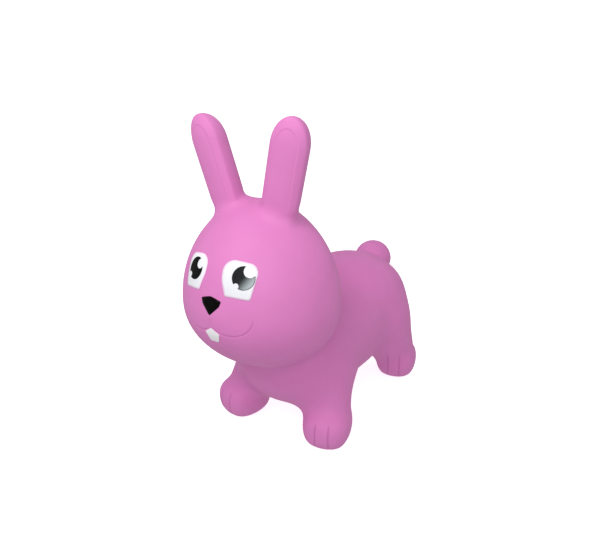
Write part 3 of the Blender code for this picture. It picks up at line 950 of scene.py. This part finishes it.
@dataclass
class Bladder:
    """The one moulded skin: head, ears, trunk, legs, paws and tail blown up as one."""

    trunk: Trunk
    head: Head
    ear: Ear
    legs: list[Leg]
    relief: Relief
    valve: Valve
    voxel: float = 0.0075
    blend_passes: int = 34
    join_passes: int = 6
    fold_reach: float = 0.032
    fold_passes: int = 36

    def fuse(self, forms: list[Object], passes: int) -> Object:
        """Blend overlapping closed forms into one skin.

        Args:
            forms: The forms, used up.
            passes: How often the joins are relaxed.

        Returns:
            The skin.
        """
        skin = joined(forms)
        finish_with(skin, "REMESH", mode="VOXEL", voxel_size=self.voxel)
        finish_with(skin, "SMOOTH", factor=0.5, iterations=passes)
        return skin

    def fill_fold(self, skin: Object, sides: list[list[BVHTree]]) -> None:
        """Fill the fold between two sets of forms.

        Args:
            skin: The blended forms.
            sides: Both sets as they were before they were blended.
        """
        group = skin.vertex_groups.new(name="fold")
        for i, place in enumerate(points(skin)):
            away = max(min(form.find_nearest(place)[3] for form in side) for side in sides)
            if away < self.fold_reach:
                group.add([i], 1.0 - away / self.fold_reach, "REPLACE")
        finish_with(skin, "SMOOTH", factor=0.5, iterations=self.fold_passes, vertex_group="fold")
        skin.vertex_groups.clear()

    def both_sides(self, form: Object) -> Object:
        """Give a form of the left side its twin on the right."""
        finish_with(form, "MIRROR", use_mirror_merge=False)
        return form

    def build(self) -> Object:
        """Model the skin and return it."""
        limbs = [self.both_sides(form) for leg in self.legs for form in leg.limb_forms()]
        bulges = self.trunk.forms()
        hip_sides = [[shape_of(form) for form in side] for side in (bulges, limbs)]
        trunk = self.fuse(bulges + limbs, self.blend_passes)
        self.fill_fold(trunk, hip_sides)
        paired = [leg.paw_form() for leg in self.legs] + [self.ear.form()]
        forms = [trunk] + self.head.forms() + [self.trunk.tail_form()]
        neck_sides = [[shape_of(form)] for form in forms[:2]]
        skin = self.fuse(forms + [self.both_sides(form) for form in paired], self.join_passes)
        self.fill_fold(skin, neck_sides)
        skin = self.ear.graft(skin)
        finish_with(skin, "MIRROR", use_bisect_axis=(True, False, False), merge_threshold=0.0001)
        finish_with(skin, "SUBSURF", levels=1, render_levels=1)
        self.relief.press(skin)
        floor = {"plane_co": (0.0, 0.0, 0.0), "plane_no": (0.0, 0.0, 1.0)}
        with editing(skin):
            bpy.ops.mesh.bisect(**floor, clear_inner=True, use_fill=True, threshold=0.000001)
        self.valve.seat(skin)
        dress(skin, MouldedVinyl().make(), "bladder", ["skin"])
        return skin


# Face


def rounded_outline(corners: list[Corner], step: float = 0.0015) -> list[Vector]:
    """Draw an outline round corners.

    Args:
        corners: Place and radius of each corner, in order.
        step: Spacing of the points.

    Returns:
        Points along the closed outline.
    """
    arcs = []
    count = len(corners)
    for i, (x, y, radius) in enumerate(corners):
        here = Vector((x, y))
        before = (Vector(corners[i - 1][:2]) - here).normalized()
        after = (Vector(corners[(i + 1) % count][:2]) - here).normalized()
        half = before.angle(after) / 2
        middle = here + (before + after).normalized() * radius / math.sin(half)
        start = here + before * radius / math.tan(half) - middle
        end = here + after * radius / math.tan(half) - middle
        sweep = math.atan2(start.cross(end), start.dot(end))
        steps = max(3, math.ceil(abs(sweep) * radius / step))
        arcs.append([middle + Matrix.Rotation(sweep * k / steps, 2) @ start for k in range(steps + 1)])
    outline = []
    for arc, following in zip(arcs, arcs[1:] + arcs[:1]):
        run = following[0] - arc[-1]
        pieces = max(1, math.ceil(run.length / step))
        outline += arc + [arc[-1] + run * k / pieces for k in range(1, pieces)]
    return outline


def disc_outline(centre: Vector, diameter: float, sides: int = 72) -> list[Vector]:
    """Points round a circle."""
    turns = [2 * math.pi * k / sides for k in range(sides)]
    return [centre + Vector((math.cos(a), math.sin(a))) * diameter / 2 for a in turns]


@dataclass
class Coat:
    """A coat of paint on the face within a drawn outline, or a raised shape with that outline."""

    name: str
    outline: list[Vector]
    frame: Matrix
    lift: float
    film: float = 0.0002
    dome: float = 0.0
    dome_passes: int = 40
    feather: float = 0.0022
    rings: int = 8
    # The flat outline starts this far outside the skin
    draw: float = 0.02

    def build(self, skin: Object) -> Object:
        """Model the coat on the skin.

        Args:
            skin: The bladder it lies on.

        Returns:
            A closed thin shell, marked with how fully the paint covers.
        """
        coat = added(bpy.ops.mesh.primitive_circle_add, vertices=len(self.outline), fill_type="NGON")
        coat.name = self.name
        for vertex, spot in zip(coat.data.vertices, self.outline):
            vertex.co = (*spot, 0.0)
        middle = sum(self.outline, Vector((0.0, 0.0))) / len(self.outline)
        radius = sum((spot - middle).length for spot in self.outline) / len(self.outline)
        shares = [1.0, 1.0 - self.feather / radius]
        shares += list(np.linspace(shares[1], 0.0, self.rings)[1:-1])
        with editing(coat):
            for was, now in zip(shares, shares[1:]):
                bpy.ops.mesh.inset(thickness=0.0)
                stretch(now / was, now / was, 1.0, (*middle, 0.0))
            bpy.ops.mesh.poke()
        cover = np.ones(len(coat.data.vertices), np.float32)
        cover[: len(self.outline)] = 0.0
        coat.data.attributes.new("cover", "FLOAT", "POINT").data.foreach_set("value", cover)
        group = coat.vertex_groups.new(name="dome")
        for vertex in coat.data.vertices:
            share = (shares + [0.0])[vertex.index // len(self.outline)]
            group.add([vertex.index], math.sqrt(1.0 - share**2), "REPLACE")
        settle(coat, self.frame @ Matrix.Translation((0.0, 0.0, self.draw)))
        inwards = {"use_negative_direction": True, "use_positive_direction": False}
        lift = self.lift + self.film
        finish_with(coat, "SHRINKWRAP", target=skin, wrap_method="PROJECT", offset=lift, **inwards)
        if self.dome:
            finish_with(coat, "DISPLACE", strength=self.dome, mid_level=0.0, vertex_group="dome")
            finish_with(coat, "SMOOTH", factor=0.5, iterations=self.dome_passes, vertex_group="dome")
        finish_with(coat, "SOLIDIFY", thickness=self.film, offset=-1.0)
        return coat


@dataclass
class Face:
    """Sprayed eyes and tooth, and the raised nose."""

    head: Head
    eye_spacing: float = 0.081
    eye_raise: float = 0.066
    eye_corners: tuple[Corner, ...] = (
        (0.0285, 0.0215, 0.014), (-0.0250, 0.0298, 0.018), (-0.0275, 0.0000, 0.030),
        (-0.0212, -0.0245, 0.003), (0.0166, -0.0283, 0.004),
    )
    # The right patch is sprayed narrower on the nose's side
    right_share: float = 0.90
    eye_feather: float = 0.0034
    # Along this run the white patch turns greyer towards the bottom
    eye_run: Run = ((0.012, 0.020), (-0.012, -0.030))
    iris_diameter: float = 0.0334
    iris_outset: float = 0.0030
    iris_raise: float = 0.0026
    # It lies over the white patch
    iris_lift: float = 0.0006
    iris_feather: float = 0.0012
    # The iris's colour runs along this way, between these shares of its half width; on the left iris it runs
    # to a painted reflection
    fade_way: Flat = (0.8, -0.6)
    fade_shares: Flat = (-0.1, 1.0)
    gaze: float = 0.0024
    glint: Corner = (0.0085, 0.0098, 0.0181)
    right_glint: Corner = (0.0085, 0.0088, 0.0146)
    spark: Corner = (-0.0104, -0.0120, 0.0088)
    nose_raise: float = 0.0295
    nose_corners: tuple[Corner, ...] = (
        (0.0184, 0.0045, 0.002), (0.0, 0.0098, 0.020), (-0.0184, 0.0045, 0.002),
        (-0.0150, -0.0040, 0.008), (0.0, -0.0190, 0.0025), (0.0150, -0.0040, 0.008),
    )
    nose_proud: float = 0.0030
    nose_sink: float = 0.0010
    nose_film: float = 0.0014
    nose_feather: float = 0.0006
    nose_run: Run = ((0.0, 0.010), (0.0, -0.019))
    tooth_drop: float = 0.0203
    tooth_corners: tuple[Corner, ...] = (
        (0.0132, 0.0030, 0.0015), (0.0, 0.0120, 0.002), (-0.0132, 0.0030, 0.0015),
        (-0.0078, -0.0132, 0.0015), (0.0078, -0.0132, 0.0015),
    )
    tooth_feather: float = 0.0010
    # Along this run the tooth turns greyer towards the bottom
    tooth_run: Run = ((0.0, 0.012), (0.0, -0.012))
    gap: float = 0.0002
    # A glint's cutter reaches this far to either side of the skin
    cutter_reach: float = 0.02

    def mask(self, tree: BVHTree, x: float, rise: float) -> Matrix:
        """Lay a spray mask on the face.

        Args:
            tree: The skin.
            x: Distance of the mask's middle to the rabbit's left.
            rise: Height of it over the head's centre.

        Returns:
            The mask's frame: right, up and out of the skin.
        """
        place, out = self.head.spot(tree, x, rise)
        up = (Vector((0.0, 0.0, 1.0)) - out * out.z).normalized()
        return Matrix.Translation(place) @ Matrix((up.cross(out), up, out)).transposed().to_4x4()

    def eye(self, skin: Object, tree: BVHTree, side: Side, iris_paint: Paint) -> None:
        """Spray one eye: its white patch and the iris with its glints left open.

        Args:
            skin: The bladder.
            tree: The same skin for finding places.
            side: Which eye.
            iris_paint: Paint of its iris; the left iris's paint runs to a painted reflection.
        """
        name = side.name.lower()
        sign = side.value
        frame = self.mask(tree, sign * self.eye_spacing / 2, self.eye_raise)
        inner = self.right_share if side is Side.RIGHT else 1.0
        corners = [(sign * x * (inner if x < 0.0 else 1.0), y, radius) for x, y, radius in self.eye_corners]
        outline = rounded_outline(corners[::sign])
        coat = Coat(f"eye_white_paint_{name}", outline, frame, self.gap, feather=self.eye_feather)
        patch = coat.build(skin)
        white = SprayedPaint(f"white_vinyl_paint_sprayed_{name}", Paint.EYE_WHITE, frame, self.eye_run)
        dress(patch, white.make(), "bladder", [f"eye_white_{name}"])
        middle = Vector((sign * self.iris_outset + self.gaze, self.iris_raise))
        disc = disc_outline(middle, self.iris_diameter)
        iris = Coat(f"iris_paint_{name}", disc, frame, self.iris_lift, feather=self.iris_feather).build(skin)
        for x, y, diameter in (self.glint if side is Side.LEFT else self.right_glint, self.spark):
            depths = (-self.cutter_reach, self.cutter_reach)
            ends = [frame @ Vector((middle.x + x, middle.y + y, depth)) for depth in depths]
            carve(iris, rod(*ends, diameter), "DIFFERENCE")
        half = Vector(self.fade_way) * self.iris_diameter / 2
        run = tuple(tuple(middle + half * share) for share in self.fade_shares)
        dull = {"specular": 0.04, "roughness": 0.40, "mist_share": 0.06}
        black = SprayedPaint(f"black_vinyl_paint_sprayed_{name}", iris_paint, frame, run, **dull)
        dress(iris, black.make(), "bladder", [f"iris_{name}"])
        LOG.info("eye %s: %d and %d faces", name, len(patch.data.polygons), len(iris.data.polygons))

    def build(self, skin: Object) -> None:
        """Spray the face.

        Args:
            skin: The bladder.
        """
        tree = shape_of(skin)
        # The left iris carries a painted reflection; the right one is plain
        self.eye(skin, tree, Side.LEFT, Paint.SHADED_IRIS)
        self.eye(skin, tree, Side.RIGHT, Paint.PLAIN_IRIS)
        outline = rounded_outline(list(self.nose_corners))
        frame = self.mask(tree, 0.0, self.nose_raise)
        sizes = {"film": self.nose_film, "dome": self.nose_proud, "feather": self.nose_feather}
        nose = Coat("nose_raised", outline, frame, -self.nose_sink, **sizes).build(skin)
        bright = {"specular": 0.05, "roughness": 0.18}
        shiny = SprayedPaint("black_gloss_paint_brushed", Paint.NOSE_BLACK, frame, self.nose_run, **bright)
        dress(nose, shiny.make(), "bladder", ["nose"])
        outline = rounded_outline(list(self.tooth_corners))
        frame = self.mask(tree, 0.0, -self.tooth_drop)
        tooth = Coat("tooth_paint", outline, frame, self.gap, feather=self.tooth_feather).build(skin)
        cream = SprayedPaint("tooth_vinyl_paint_sprayed", Paint.TOOTH_WHITE, frame, self.tooth_run)
        dress(tooth, cream.make(), "bladder", ["tooth"])
        LOG.info("nose and tooth: %d and %d faces", len(nose.data.polygons), len(tooth.data.polygons))


# Studio


@dataclass(frozen=True)
class SoftBox:
    """A square lamp that hangs near the hopper."""

    name: str
    place: Vector
    watts: float
    size: float = 0.6

    def hang(self, aim: Vector) -> None:
        """Hang the lamp and turn it to a place.

        Args:
            aim: What it lights.
        """
        turn = (aim - self.place).to_track_quat("-Z", "Y").to_euler()
        lamp = added(bpy.ops.object.light_add, type="AREA", location=self.place, rotation=turn)
        lamp.name = self.name
        lamp.data.size = self.size
        lamp.data.energy = self.watts
        lamp.visible_camera = False


@dataclass(frozen=True)
class Studio:
    """Pale sweep of a floor, soft lights and the camera."""

    floor_colour: str = "#FAFAFA"
    fibre_colour: str = "#F6F6F6"
    fibre_mm: float = 10.0 / 3.0
    floor_roughness: float = 0.9
    sides: int = 96
    reach: float = 3.0
    cove: float = 20.0
    cove_turn: float = math.radians(75.0)
    cove_steps: int = 24
    floor_glow: float = 0.70
    white: str = "#FFFFFF"
    sky_strength: float = 0.61
    lamps: tuple[SoftBox, ...] = (
        SoftBox("key_lamp", Vector((0.034, -0.955, 1.326)), watts=7.3),
        SoftBox("front_lamp", Vector((0.630, -1.116, 0.879)), watts=3.3),
    )
    lamp_aim: Vector = Vector((0.0, -0.12, 0.33))
    camera_place: Place = (0.4765, -0.8065, 0.59)
    camera_turn: tuple[float, float, float] = (math.radians(70.1), 0.0, math.radians(32.3))
    lens_mm: float = 32.1
    sensor_mm: float = 36.0

    def floor(self) -> None:
        """Model a round floor that curves gently up into a backdrop on every side."""
        sweep = added(
            bpy.ops.mesh.primitive_circle_add, vertices=self.sides, radius=self.reach, fill_type="NGON"
        )
        sweep.name = "studio_floor"
        with editing(sweep, pick=Pick.EDGES):
            for k in range(1, self.cove_steps + 1):
                before, after = (self.cove_turn * step / self.cove_steps for step in (k - 1, k))
                was, now = (self.reach + self.cove * math.sin(turn) for turn in (before, after))
                rise = self.cove * (math.cos(before) - math.cos(after))
                bpy.ops.mesh.select_all(action="SELECT")
                bpy.ops.mesh.region_to_loop()
                bpy.ops.mesh.extrude_region_move(TRANSFORM_OT_translate={"value": (0.0, 0.0, rise)})
                stretch(now / was, now / was, 1.0)
        sweep.data.shade_smooth()
        plain = {
            "Roughness": self.floor_roughness,
            "Emission Color": linear(self.white),
            "Emission Strength": self.floor_glow,
        }
        material, tree, shader, place = new_material("paper_backdrop_backlit", plain)
        fibre = add_node(tree, "TexNoise", {"Scale": 1000 / self.fibre_mm}, {"Vector": place})
        tints = {"Color1": linear(self.floor_colour), "Color2": linear(self.fibre_colour)}
        colour = add_node(tree, "MixRGB", tints, {"Fac": fibre})
        tree.links.new(colour, shader.inputs["Base Color"])
        sweep.data.materials.append(material)
        # The photograph's hopper gets little light from the floor and backdrop, so they throw none back
        sweep.visible_diffuse = False
        sweep.visible_glossy = False

    def build(self) -> None:
        """Set up floor, lights, sky and camera."""
        self.floor()
        for lamp in self.lamps:
            lamp.hang(self.lamp_aim)
        scene = bpy.context.scene
        scene.world = bpy.data.worlds.new("studio_air")
        scene.world.use_nodes = True
        air = scene.world.node_tree.nodes["Background"]
        air.inputs["Color"].default_value = linear(self.white)
        air.inputs["Strength"].default_value = self.sky_strength
        scene.view_settings.view_transform = "Standard"
        camera = added(bpy.ops.object.camera_add, location=self.camera_place, rotation=self.camera_turn)
        camera.name = "photo_camera"
        camera.data.lens = self.lens_mm
        camera.data.sensor_width = self.sensor_mm
        scene.camera = camera


def main() -> None:
    """Build the hopper's looks over the CAD model."""
    logging.basicConfig(level=logging.INFO, format="%(name)s: %(message)s")
    for old in list(bpy.data.objects):
        bpy.data.objects.remove(old)
    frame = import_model()
    soles = {mount["name"]: Vector(mount["pos_m"]) for mount in frame["record"]["mounts"]}
    front, rear = soles["front_left_sole"], soles["rear_left_sole"]
    head = Head(front.y)
    knees = {"knee": (-0.016, 0.018, 0.075), "knee_diameter": 0.097}
    hocks = {"knee": (-0.013, -0.015, 0.075), "knee_diameter": 0.106}
    legs = [
        Leg(front, hip=(-0.035, 0.056, 0.130), hip_diameter=0.126, **knees),
        Leg(rear, hip=(-0.031, -0.035, 0.140), hip_diameter=0.138, **hocks),
    ]
    valve = Valve()
    skin = Bladder(Trunk(front.y, rear.y), head, Ear(head), legs, Relief(head, legs), valve).build()
    LOG.info("skin: %d triangles", sum(len(face.vertices) - 2 for face in skin.data.polygons))
    Face(head).build(skin)
    valve.dress(frame["nodes"]["valve_plug"])
    LOG.info("valve plug: kept from the CAD model")
    Studio().build()


if __name__ == "__main__":
    main()
